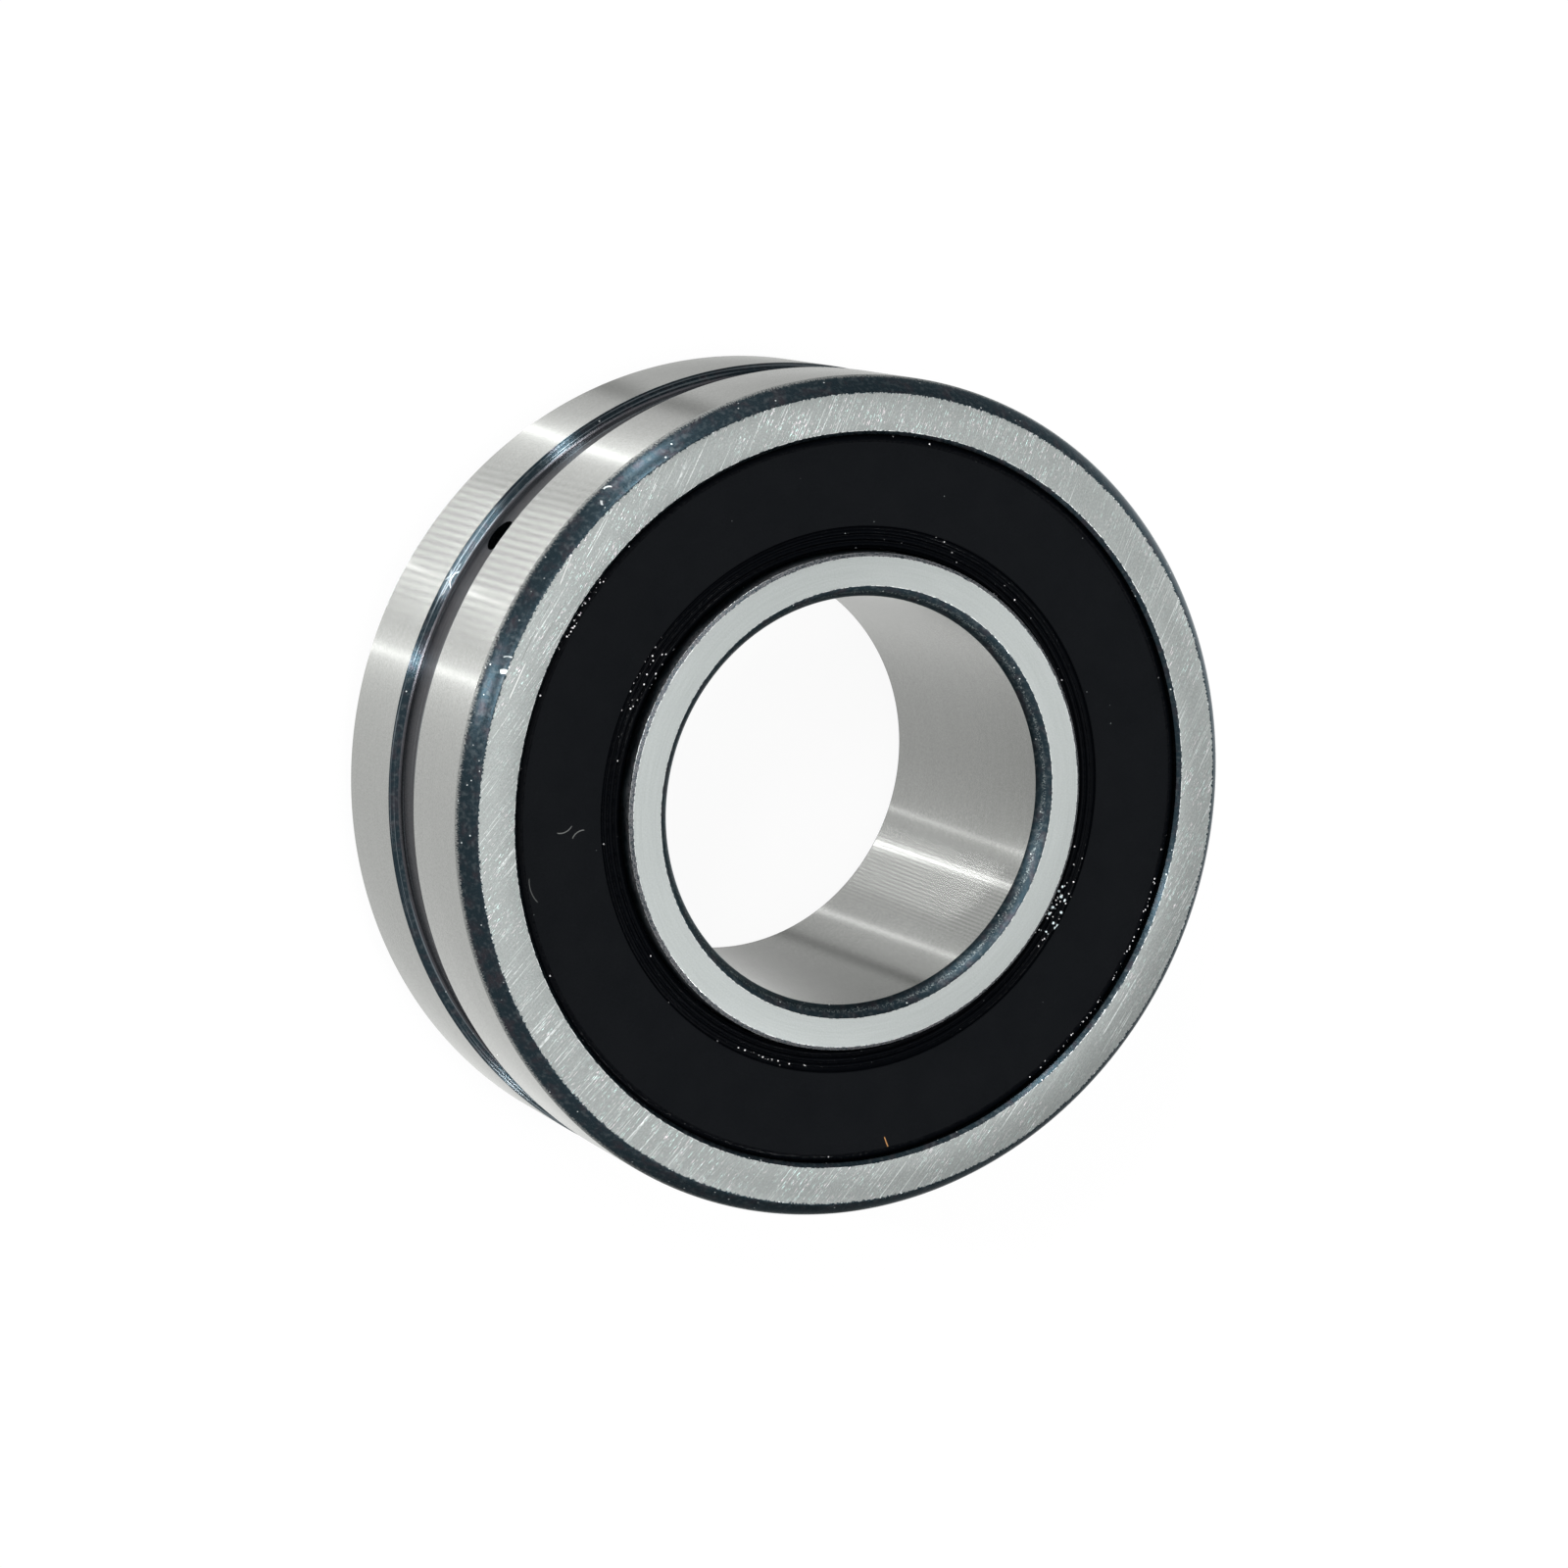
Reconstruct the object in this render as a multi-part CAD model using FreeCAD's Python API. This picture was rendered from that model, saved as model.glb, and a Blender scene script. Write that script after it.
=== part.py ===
import FreeCAD
import Part
import math
import os

# Sealed double-row spherical roller bearing, in millimetres. The axis is Z, the origin is on
# it in the middle of the width, and the front face looks along +Z. Half sections are lists of
# points given as (radius, height), and a point marked by via() is the middle of an arc.

# Boundary sizes
bore_d = 35.0
outer_d = 72.0
width = 28.0

# Outer ring
outer_chamfer_r = 1.33
outer_chamfer_z = 1.82
chamfer_bulge = 0.12
groove_width = 5.85
groove_floor_width = 5.0
groove_depth = 0.9
groove_corner = 0.3
outer_wall = 2.7
oil_hole_d = 3.0
oil_hole_count = 3
seat_depth = 2.8
seat_ledge = 0.72
seat_chamfer_r = 0.34
seat_chamfer_z = 0.38
snap_groove_depth = 0.4
snap_groove_top = 0.95
snap_groove_width = 0.9

# Inner ring
bore_chamfer_r = 0.985
bore_chamfer_z = 1.19
land_bevel_r = 0.31
land_bevel_z = 0.23
land_step = 0.12
raceway_run_out = 1.0
inner_wall = 4.276

# Rollers and guide ring
roller_corner = 0.25
roller_spacing = 0.4
osculation = 0.97
guide_ring_thickness = 1.1
guide_ring_rise = 1.0

# Cages, stamped from sheet
cage_sheet = 0.8
cage_rise_share = 0.36
cage_bend = 0.3
cage_middle_gap = 0.65
flange_gap = 0.5
window_corner = 0.6

# Seals: rubber moulded on a steel plate
seal_depth_out = 0.68
seal_depth_in = 1.01
seal_rubber = 0.5
seal_plate = 0.8
seal_bend = 0.3
seal_rim_wall = 0.38
bead_width = 0.67
bead_height = 0.1
lip_zone_share = 0.2
lip_root = 0.25
lip_depth = 0.7
lip_tip = 0.25
lip_back = 0.15
shoulder_share = 0.17
shoulder_drop = 0.42
shoulder_bulge = 0.07
ridge_count = 3
ridge_top_share = 0.35
ridge_foot_share = 0.7
ridge_height = 0.12
ridge_step = 0.06

# Running clearances
roller_gap = 0.08
guide_ring_gap = 0.1
roller_end_gap = 0.08
window_gap = 0.1
window_end_gap = 0.15
land_gap = 0.6
lip_gap = 0.2
cage_seal_gap = 0.45

# Sizes that follow
bore_r = bore_d / 2
outer_r = outer_d / 2
face_z = width / 2
sphere_r = outer_r - groove_depth - outer_wall
inner_contact_r = bore_r + inner_wall
guide_half = guide_ring_thickness / 2
seal_back_z = face_z - seal_depth_in - seal_rubber - seal_plate


class Row:
    """The front row at one contact angle. A point of the row has a place s along the roller
    axis, from the roller's middle outwards, and a distance t from the bearing's centre along
    the contact line."""

    def __init__(self, angle):
        self.angle = angle
        self.sin = math.sin(angle)
        self.cos = math.cos(angle)
        self.raceway_r = sphere_r - roller_gap
        self.race_t = inner_contact_r / self.cos
        self.roller_r = (self.raceway_r - self.race_t - roller_gap) / 2
        self.roller_t = self.raceway_r - self.roller_r
        self.pitch_r = self.roller_t * self.cos
        self.cage_t = self.roller_t + cage_rise_share * self.roller_r
        self.race_centre_t = self.race_t + self.raceway_r
        centre_r, centre_z = self.at(0, self.race_centre_t)
        drop = math.sqrt(self.raceway_r ** 2 - (centre_z - guide_half) ** 2)
        self.crest_r = centre_r - drop
        self.guide_bore_r = self.crest_r + guide_ring_gap
        self.guide_s = guide_half * self.cos - self.guide_bore_r * self.sin
        end_sag = self.roller_r ** 2 / (2 * self.pitch_r) * self.sin
        self.roller_half = -self.guide_s - roller_end_gap - end_sag

    def at(self, s, t):
        """Radius and height of a point of the row."""
        return (t * self.cos - s * self.sin, t * self.sin + s * self.cos)

    def raceway(self, s):
        """Radius and height of the inner raceway, s along from its middle."""
        return self.at(s, self.race_centre_t - math.sqrt(self.raceway_r ** 2 - s ** 2))

    def cage_top_z(self):
        """Height of the cage's outer corner."""
        flange_s = self.roller_half + flange_gap + cage_sheet
        return self.at(flange_s, self.cage_t + cage_sheet)[1]


def fitted_row():
    """The row at the steepest contact angle at which the cage still clears the seal."""
    low, high = 0.02, 0.8
    for _ in range(60):
        middle = (low + high) / 2
        if Row(middle).cage_top_z() < seal_back_z - cage_seal_gap:
            low = middle
        else:
            high = middle
    return Row(low)


row = fitted_row()
roller_span = 2 * row.roller_r + roller_spacing
roller_count = int(math.pi / math.asin(roller_span / (2 * row.pitch_r)))
raceway_end = row.raceway(row.roller_half + raceway_run_out)
land_r = raceway_end[0] + land_step
seat_z = face_z - seat_depth
seat_floor_r = math.sqrt(sphere_r ** 2 - seat_z ** 2)
seat_r = seat_floor_r + seat_ledge
lip_r = land_r + lip_gap
lip_zone = lip_zone_share * (seat_r - lip_r)
lip_zone_r = lip_r + lip_zone


def via(point):
    """Marks a point of a half section as the middle of an arc."""
    return (point[0], point[1], "via")


def vector(point):
    """A half-section point in the XZ plane."""
    return FreeCAD.Vector(point[0], 0, point[1])


def bulged(start, end, bulge):
    """The middle of a shallow arc that stands out to the right of the way from start to end."""
    along = (vector(end) - vector(start)).normalize()
    middle = (vector(start) + vector(end)) / 2
    return via((middle.x + along.z * bulge, middle.z - along.x * bulge))


def rounded(before, corner, after, radius):
    """Start, middle and end of an arc that rounds a corner of a half section."""
    tip = vector(corner)
    back = (vector(before) - tip).normalize()
    ahead = (vector(after) - tip).normalize()
    half = back.getAngle(ahead) / 2
    reach = radius / math.tan(half)
    inward = (back + ahead).normalize()
    middle = tip + inward * (radius / math.sin(half) - radius)
    start, end = tip + back * reach, tip + ahead * reach
    return [(start.x, start.z), via((middle.x, middle.z)), (end.x, end.z)]


def outline_face(outline):
    """Face inside a closed half section."""
    edges = []
    here, middle = outline[0], None
    for point in outline[1:] + [outline[0]]:
        if len(point) == 3:
            middle = point
            continue
        if middle:
            curve = Part.Arc(vector(here), vector(middle), vector(point))
        else:
            curve = Part.LineSegment(vector(here), vector(point))
        edges.append(curve.toShape())
        here, middle = point, None
    return Part.Face(Part.Wire(edges))


def turned(outline):
    """Solid swept once round the Z axis."""
    return outline_face(outline).revolve(FreeCAD.Vector(), FreeCAD.Vector(0, 0, 1), 360)


def flipped(outline):
    """A half section mirrored to the rear half and read backwards."""
    return [(point[0], -point[1]) + tuple(point[2:]) for point in reversed(outline)]


def rear(shape):
    """A front solid mirrored to the rear."""
    return shape.mirror(FreeCAD.Vector(), FreeCAD.Vector(0, 0, 1))


def spun(shape, degrees):
    """A copy turned about the bearing axis."""
    copy = shape.copy()
    copy.rotate(FreeCAD.Vector(), FreeCAD.Vector(0, 0, 1), degrees)
    return copy


def snap_groove():
    """Lower end, middle and upper end of the arc that holds the seal's bead."""
    top = face_z - snap_groove_top
    bottom = top - snap_groove_width
    return [(seat_r, bottom), via((seat_r + snap_groove_depth, (top + bottom) / 2)), (seat_r, top)]


def outer_ring():
    """Ring with one spherical raceway, seal seats, a lubrication groove and radial holes."""
    floor = (outer_r - groove_depth, groove_floor_width / 2)
    edge = (outer_r, groove_width / 2)
    shoulder = (outer_r, face_z - outer_chamfer_z)
    rim = (outer_r - outer_chamfer_r, face_z)
    front = rounded((floor[0], 0), floor, edge, groove_corner)
    front += [edge, shoulder, bulged(shoulder, rim, chamfer_bulge), rim]
    front += [(seat_r + seat_chamfer_r, face_z), (seat_r, face_z - seat_chamfer_z)]
    front += list(reversed(snap_groove()))
    front += [(seat_r, seat_z), (seat_floor_r, seat_z)]
    ring = turned(front + [via((sphere_r, 0))] + flipped(front))
    hole = Part.makeCylinder(oil_hole_d / 2, outer_r - row.pitch_r, vector((row.pitch_r, 0)),
                             FreeCAD.Vector(1, 0, 0))
    for number in range(oil_hole_count):
        ring = ring.cut(spun(hole, 360 * number / oil_hole_count))
    return ring


def inner_ring():
    """Ring with two raceways, a crest between them and a land for each seal lip."""
    land = (land_r, face_z - land_bevel_z)
    chamfer_top = (bore_r + bore_chamfer_r, face_z)
    chamfer_end = (bore_r, face_z - bore_chamfer_z)
    front = [(row.crest_r, guide_half), via(row.at(0, row.race_t)), raceway_end]
    front += [(land_r, raceway_end[1] + land_step), land, (land_r - land_bevel_r, face_z)]
    front += [chamfer_top, bulged(chamfer_top, chamfer_end, -chamfer_bulge), chamfer_end]
    return turned(front + flipped(front))


def guide_ring():
    """Loose ring between the rows, with sides parallel to the roller ends."""
    top_r = row.pitch_r + guide_ring_rise
    top_half = (row.guide_s + top_r * row.sin) / row.cos
    front = [(row.guide_bore_r, guide_half), (top_r, top_half)]
    return turned(front + flipped(front))


def roller():
    """Front barrel roller at angle zero, in its place in the row."""
    profile_r = osculation * row.raceway_r
    half = row.roller_half
    corner_z = half - roller_corner
    corner_r = row.roller_r - profile_r + math.sqrt(profile_r ** 2 - corner_z ** 2)
    front = [(0, half), (corner_r - roller_corner, half), (corner_r, corner_z)]
    return in_row(turned(front + [via((row.roller_r, 0))] + flipped(front)))


def in_row(shape):
    """Moves a shape from the roller's own frame, with its axis on Z, into the row."""
    lean = FreeCAD.Rotation(FreeCAD.Vector(0, 1, 0), -math.degrees(row.angle))
    shape.Placement = FreeCAD.Placement(vector(row.at(0, row.roller_t)), lean)
    return shape


def window():
    """Cutter for one cage window, square through the sheet and rounded at its corners."""
    rise = row.cage_t - row.roller_t
    sag = row.roller_r ** 2 / (2 * row.at(0, row.cage_t)[0])
    half_width = math.sqrt(row.roller_r ** 2 - (rise - sag) ** 2) + window_gap
    half_length = row.roller_half + window_end_gap
    depth = 2 * cage_sheet + 2 * sag
    cutter = Part.makeBox(depth, 2 * half_width, 2 * half_length,
                          FreeCAD.Vector(rise - 2 * sag, -half_width, -half_length))
    upright = [edge for edge in cutter.Edges if abs(edge.tangentAt(edge.FirstParameter).x) > 0.9]
    return in_row(cutter.makeFillet(window_corner, upright))


def cage():
    """Front cage: a conical band over the rollers with a flange bent in along their ends."""
    inside_t = row.cage_t
    outside_t = inside_t + cage_sheet
    flange_in = row.roller_half + flange_gap
    flange_out = flange_in + cage_sheet
    rim_s = (cage_middle_gap - inside_t * row.sin) / row.cos
    foot_t = (land_r + land_gap + flange_out * row.sin) / row.cos
    outer_bend = rounded(row.at(rim_s, outside_t), row.at(flange_out, outside_t),
                         row.at(flange_out, foot_t), cage_bend + cage_sheet)
    inner_bend = rounded(row.at(flange_in, foot_t), row.at(flange_in, inside_t),
                         row.at(rim_s, inside_t), cage_bend)
    outline = [row.at(rim_s, inside_t), row.at(rim_s, outside_t)] + outer_bend
    outline += [row.at(flange_out, foot_t), row.at(flange_in, foot_t)] + inner_bend
    band = turned(outline)
    cutter = window()
    for number in range(roller_count):
        band = band.cut(spun(cutter, 360 * number / roller_count))
    return band


def plate_skin():
    """Front side of the seal's steel plate, from the foot of its rim to its inner edge."""
    rim_r = seat_r - seal_rim_wall
    edge_r = lip_zone_r + lip_root
    top = face_z - seal_rubber
    corner = (rim_r, top - seal_depth_out)
    inner = (edge_r, top - seal_depth_in)
    skin = [(rim_r, seat_z)] + rounded((rim_r, seat_z), corner, inner, seal_bend + seal_plate)
    return skin + [inner, (edge_r, inner[1] - seal_plate)]


def seal_plate_ring():
    """Steel plate of the front seal, bent down at its rim to stand on the seat."""
    skin = plate_skin()
    rim_r = skin[0][0] - seal_plate
    corner = (rim_r, face_z - seal_rubber - seal_depth_out - seal_plate)
    bend = rounded(skin[-1], corner, (rim_r, seat_z), seal_bend)
    return turned(skin + bend + [(rim_r, seat_z)])


def channel(start):
    """Ridges of the seal's lip zone, from its shoulder in towards the lip."""
    r, z = start
    pitch = (r - lip_r) / ridge_count
    points = []
    for _ in range(ridge_count):
        points.append((r - pitch * ridge_top_share, z + ridge_height))
        points.append((r - pitch * ridge_foot_share, z - ridge_step))
        r, z = r - pitch, z - ridge_step
        points.append((r, z))
    return points[:-1]


def seal_rubber_ring():
    """Rubber of the front seal: bead in its groove, flat face, ridged channel and lip."""
    bead_r = seat_r - bead_width
    face_out = (bead_r, face_z - seal_depth_out)
    face_in = (lip_zone_r, face_z - seal_depth_in)
    shoulder = (lip_zone_r - shoulder_share * lip_zone, face_in[1] - shoulder_drop)
    tip = (lip_r, face_in[1] - lip_depth)
    back = ((lip_r + lip_zone_r) / 2, tip[1] - lip_tip - lip_back)
    front = [(seat_r, seat_z)] + snap_groove()
    front += [via(((bead_r + seat_r) / 2, face_out[1] + bead_height)), face_out, face_in]
    front += [bulged(shoulder, face_in, -shoulder_bulge), shoulder] + channel(shoulder)
    front += [tip, (lip_r, tip[1] - lip_tip), back]
    return turned(front + list(reversed(plate_skin())))


def numbered(name, shape, offset):
    """The pieces of one row by name, spaced round the axis from an offset in degrees."""
    step = 360 / roller_count
    return {f"{name}_{number + 1:02d}": spun(shape, offset + number * step)
            for number in range(roller_count)}


def main():
    """Builds every piece and writes each to its own file."""
    half_pitch = 180 / roller_count
    plate, rubber, front_cage, barrel = seal_plate_ring(), seal_rubber_ring(), cage(), roller()
    pieces = {
        "outer_ring": outer_ring(),
        "inner_ring": inner_ring(),
        "guide_ring": guide_ring(),
        "cage_front": front_cage,
        "cage_rear": spun(rear(front_cage), half_pitch),
        "seal_plate_front": plate,
        "seal_plate_rear": rear(plate),
        "seal_rubber_front": rubber,
        "seal_rubber_rear": rear(rubber),
    }
    pieces.update(numbered("roller_front", barrel, 0))
    pieces.update(numbered("roller_rear", rear(barrel), half_pitch))
    os.makedirs("parts", exist_ok=True)
    for name, shape in pieces.items():
        shape.exportStep(f"parts/{name}.step")
    print(f"{len(pieces)} pieces, contact angle {math.degrees(row.angle):.2f} degrees,"
          f" rollers {2 * row.roller_half:.2f} long, {roller_count} in a row")


main()
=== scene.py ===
import bpy
import math
from mathutils import Matrix, Vector, kdtree


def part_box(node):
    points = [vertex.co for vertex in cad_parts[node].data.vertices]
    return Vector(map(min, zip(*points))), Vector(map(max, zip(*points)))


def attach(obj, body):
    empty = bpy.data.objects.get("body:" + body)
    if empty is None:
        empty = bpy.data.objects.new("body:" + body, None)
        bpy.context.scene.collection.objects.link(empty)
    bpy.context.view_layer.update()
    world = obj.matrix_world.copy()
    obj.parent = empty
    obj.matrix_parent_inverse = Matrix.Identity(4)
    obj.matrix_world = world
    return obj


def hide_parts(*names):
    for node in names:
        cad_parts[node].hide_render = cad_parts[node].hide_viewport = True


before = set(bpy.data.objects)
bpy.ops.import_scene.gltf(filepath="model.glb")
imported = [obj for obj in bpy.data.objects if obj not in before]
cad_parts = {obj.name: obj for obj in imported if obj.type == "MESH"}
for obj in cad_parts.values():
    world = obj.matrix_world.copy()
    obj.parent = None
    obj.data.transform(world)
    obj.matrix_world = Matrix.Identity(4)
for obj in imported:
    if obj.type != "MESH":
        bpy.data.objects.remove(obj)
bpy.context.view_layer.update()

# Sealed double-row spherical roller bearing, lying on its rear face. Metres, axis on Z.
# A half section is drawn in radius and height, up the outside and round to the bore.

# Boundary sizes, from the frame
outer_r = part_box("outer_ring")[1].x
face_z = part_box("outer_ring")[1].z
floor_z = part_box("outer_ring")[0].z
seat_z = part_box("seal_rubber_front")[0].z
crest_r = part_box("inner_ring")[1].x

# Outer ring
chamfer_r = 0.00133
chamfer_z = 0.00182
chamfer_bulge = 0.00012
groove_half = 0.002925
groove_floor_half = 0.0025
groove_depth = 0.0009
groove_corner = 0.0003
oil_hole_r = 0.0015
oil_hole_count = 3
sphere_r = 0.0324
seat_floor_r = math.sqrt(sphere_r ** 2 - seat_z ** 2)
seat_r = seat_floor_r + 0.00072
seat_chamfer_r = 0.00034
seat_chamfer_z = 0.00038
snap_top = 0.00095
snap_width = 0.0009
snap_depth = 0.0004

# Inner ring
bore_r = 0.0175
bore_chamfer_r = 0.000985
bore_chamfer_z = 0.00119
land_r = 0.02126
land_z = 0.009579
land_bevel_r = 0.00031
land_bevel_z = 0.00023
land_step = 0.00012
crest_half = 0.00055
raceway_middle = Vector((0.021776, 0.004525))

# Seal rubber
bead_width = 0.00067
bead_height = 0.0001
seal_depth_out = 0.00068
seal_depth_in = 0.00101
lip_r = 0.02146
lip_zone_r = 0.02339
lip_depth = 0.0007
lip_tip = 0.00025
lip_back = 0.00015
lip_root = 0.00025
shoulder_r = 0.00033
shoulder_drop = 0.00042
ridge_count = 3
ridge_height = 0.00012
ridge_step = 0.00006
valley_share = 0.35
rubber_thickness = 0.0005
plate_thickness = 0.0008
plate_rim_wall = 0.00038
plate_bend = 0.0011

# Edges and divisions
edge_break = 0.00006
plain_edge = 0.00007
soft_edge = 0.00012
turn_steps = 512
arc_steps = 8
raceway_steps = 24
ease_steps = 3
valley_steps = 3
hole_sides = 64
weld_gap = 1e-6
smooth_angle = math.radians(28)

# Millimetres in a metre, for patterns that are laid out in millimetres
MM = 1000.0


class Number:
    """A value on its way through a finish's nodes, so that its arithmetic reads as Python."""

    def __init__(self, finish, socket):
        self.finish = finish
        self.socket = socket

    def worked(self, operation, *values):
        """The result of one Math node."""
        return self.finish.add("ShaderNodeMath", {"operation": operation},
                               dict(enumerate(values)))

    def __add__(self, other):
        return self.worked("ADD", self, other)

    def __radd__(self, other):
        return self.worked("ADD", other, self)

    def __sub__(self, other):
        return self.worked("SUBTRACT", self, other)

    def __rsub__(self, other):
        return self.worked("SUBTRACT", other, self)

    def __mul__(self, other):
        return self.worked("MULTIPLY", self, other)

    def __rmul__(self, other):
        return self.worked("MULTIPLY", other, self)

    def __truediv__(self, other):
        return self.worked("DIVIDE", self, other)

    def __rtruediv__(self, other):
        return self.worked("DIVIDE", other, self)

    def __pow__(self, other):
        return self.worked("POWER", self, other)

    def __abs__(self):
        return self.worked("ABSOLUTE", self)


class Recipe:
    """Nodes of one material, or of the studio's light, added from Python."""

    def __init__(self, tree):
        self.tree = tree
        self.tree.nodes.clear()

    def add(self, kind, settings=None, sockets=None, out=0):
        """Adds a node, with its settings first and then its sockets, and gives one output."""
        node = self.tree.nodes.new(kind)
        for name, value in (settings or {}).items():
            setattr(node, name, value)
        for name, value in (sockets or {}).items():
            if isinstance(value, Number):
                self.tree.links.new(value.socket, node.inputs[name])
            else:
                node.inputs[name].default_value = value
        return Number(self, node.outputs[out]) if node.outputs else None

    def rise(self, value, low, high):
        """0 below low, 1 above high, and smooth between them."""
        return self.add("ShaderNodeMapRange", {"interpolation_type": "SMOOTHSTEP"},
                        {"Value": value, "From Min": low, "From Max": high})

    def near(self, value, middle, reach):
        """1 where a value is at the middle, falling to 0 at reach from it."""
        return 1 - self.rise(abs(value - middle), 0.0, reach)

    def facing(self, x, y, length, degrees, reach):
        """1 towards an azimuth, falling to 0 at so many degrees from it."""
        way = math.radians(degrees)
        ahead = (x * math.cos(way) + y * math.sin(way)) / length
        return self.rise(ahead, math.cos(math.radians(reach)), 1.0)

    def spot(self, x, y, z, azimuth, elevation, reach):
        """1 towards an azimuth and elevation, falling to 0 at so many degrees from it."""
        ahead = toward(x, y, z, azimuth, elevation)
        return self.rise(ahead, math.cos(math.radians(reach)), 1.0)


class Finish(Recipe):
    """One material. Places on the surface are in millimetres."""

    def __init__(self, name):
        self.material = bpy.data.materials.new(name)
        self.material.use_nodes = True
        super().__init__(self.material.node_tree)
        place = self.add("ShaderNodeTexCoord", out="Object")
        self.x, self.y, self.z = (
            self.add("ShaderNodeSeparateXYZ", sockets={0: place}, out=axis) * MM
            for axis in range(3))
        self.radius = (self.x * self.x + self.y * self.y) ** 0.5
        self.azimuth = self.x.worked("ARCTAN2", self.y, self.x)

    def sector(self, degrees, reach):
        """1 at an azimuth of the piece, falling to 0 at so many degrees from it."""
        return self.facing(self.x, self.y, self.radius, degrees, reach)

    def hair(self, x, y, degrees, length, bend_r, width):
        """Mask of a fibre or scratch that lies at a place, in one direction, with a bend."""
        way = math.radians(degrees)
        off = self.distance_to(x - bend_r * math.sin(way), y + bend_r * math.cos(way))
        here = self.distance_to(x, y)
        return ((1 - self.rise(abs(off - abs(bend_r)), 0.4 * width, width))
                * (1 - self.rise(here, 0.4 * length, 0.5 * length)))

    def distance_to(self, x, y):
        """How far the surface is from an upright line, seen from above."""
        from_x, from_y = self.x - x, self.y - y
        return (from_x * from_x + from_y * from_y) ** 0.5

    def noise(self, x, y, z, detail=2.0):
        """Soft noise over a place that has been stretched or wrapped."""
        place = self.add("ShaderNodeCombineXYZ", sockets={0: x, 1: y, 2: z})
        return self.add("ShaderNodeTexNoise", None,
                        {"Vector": place, "Scale": 1.0, "Detail": detail, "Roughness": 0.5})

    def cloud(self, scale, detail=3.0, shift=0.0):
        """Noise that is alike in all directions, scale features to a millimetre."""
        return self.noise(self.x * scale + shift, self.y * scale, self.z * scale, detail)

    def rings(self, across, turns, lines, detail=2.0, shift=0.0):
        """Noise drawn out round the axis: so many features in a radian, lines to a millimetre."""
        wrap = turns / self.radius
        return self.noise(self.x * wrap, self.y * wrap, across * lines + shift, detail)

    def blend(self, mask, first, second):
        """The first colour where the mask is 0 and the second where it is 1."""
        return self.add("ShaderNodeMix", {"data_type": "RGBA"},
                        {0: mask, 6: painted(first), 7: painted(second)}, out=2)

    def scaled(self, colour, factor):
        """A colour made lighter or darker by a factor."""
        grey = self.add("ShaderNodeCombineXYZ", sockets={0: factor, 1: factor, 2: factor})
        return self.add("ShaderNodeMix", {"data_type": "RGBA", "blend_type": "MULTIPLY"},
                        {0: 1.0, 6: painted(colour), 7: grey}, out=2)

    def bump(self, height, microns):
        """The normal of a surface with this relief, so many microns deep."""
        return self.add("ShaderNodeBump", None,
                        {"Strength": 1.0, "Distance": microns * 1e-6, "Height": height})

    def dust(self, spacing, size, share, shift=0.0):
        """Mask of small specks: their spacing and size in millimetres, and the share kept."""
        cell = 1 / spacing
        place = self.add("ShaderNodeCombineXYZ", sockets={
            0: self.x * cell + shift, 1: self.y * cell, 2: self.z * cell})
        kind = "ShaderNodeTexVoronoi"
        sockets = {"Vector": place, "Scale": 1.0}
        distance = self.add(kind, None, sockets)
        lot = self.add("ShaderNodeSeparateXYZ",
                       sockets={0: self.add(kind, None, sockets, out="Color")})
        kept = self.rise(lot, 1 - share, 1.02 - share)
        return (1 - self.rise(distance, 0.6 * size * cell, size * cell)) * kept

    def done(self, colour, metallic, roughness, normal=None, **fixed):
        """Closes the finish with its shader. Fixed values keep one number all over."""
        sockets = {"Base Color": painted(colour), "Metallic": metallic, "Roughness": roughness}
        if normal:
            sockets["Normal"] = normal
        for name, value in fixed.items():
            sockets[name.replace("_", " ")] = value
        shader = self.add("ShaderNodeBsdfPrincipled", None, sockets)
        self.add("ShaderNodeOutputMaterial", None, {"Surface": shader})
        return self.material


def painted(colour):
    """A colour as a socket takes it."""
    return colour if isinstance(colour, Number) else (*colour, 1.0)


# Colours of the bare steel, of the oxide on it and of the wear through it
steel_warm = (0.603, 0.614, 0.592)
steel_cool = (0.310, 0.331, 0.324)
steel_fine = (0.444, 0.473, 0.466)
steel_bright = (0.80, 0.83, 0.82)
oxide_teal = (0.021, 0.035, 0.044)
oxide_brown = (0.050, 0.042, 0.050)
oxide_grey = (0.090, 0.108, 0.116)
steel_rubbed = (0.36, 0.37, 0.36)
worn_shoulder = (0.15, 0.148, 0.154)
worn_line = (0.26, 0.30, 0.30)
turning_line = (0.20, 0.23, 0.25)
groove_blue = (0.050, 0.057, 0.067)
groove_brown = (0.098, 0.093, 0.099)
groove_bright = (0.36, 0.40, 0.42)
dull_edge_on = (0.62, 0.66, 0.68, 1.0)

# Marks on the steel, and the painted glints on its ground face
speck_white = (0.85, 0.90, 0.90)
glint_green = (0.72, 0.92, 0.89)
glint_pink = (0.93, 0.85, 0.89)
scratch_white = (0.9, 0.94, 0.94)
fibre_grey = (0.42, 0.46, 0.48)

# Rubber, the dust and fibres on it, and the painted glints on its bead and lip
matt_dark = (0.0033, 0.0040, 0.0050)
matt_light = (0.0053, 0.0060, 0.0071)
gloss_dark = (0.0010, 0.0012, 0.0018)
gloss_light = (0.0018, 0.0024, 0.0034)
dust_grey = (0.55, 0.6, 0.6)
lint_pale = (0.5, 0.52, 0.5)
lint_dim = (0.4, 0.42, 0.4)
thread_orange = (0.50, 0.26, 0.10)
oil_white = (0.95, 0.94, 0.95)
oil_pink = (0.95, 0.84, 0.93)
oil_blue = (0.80, 0.92, 0.95)

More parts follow.
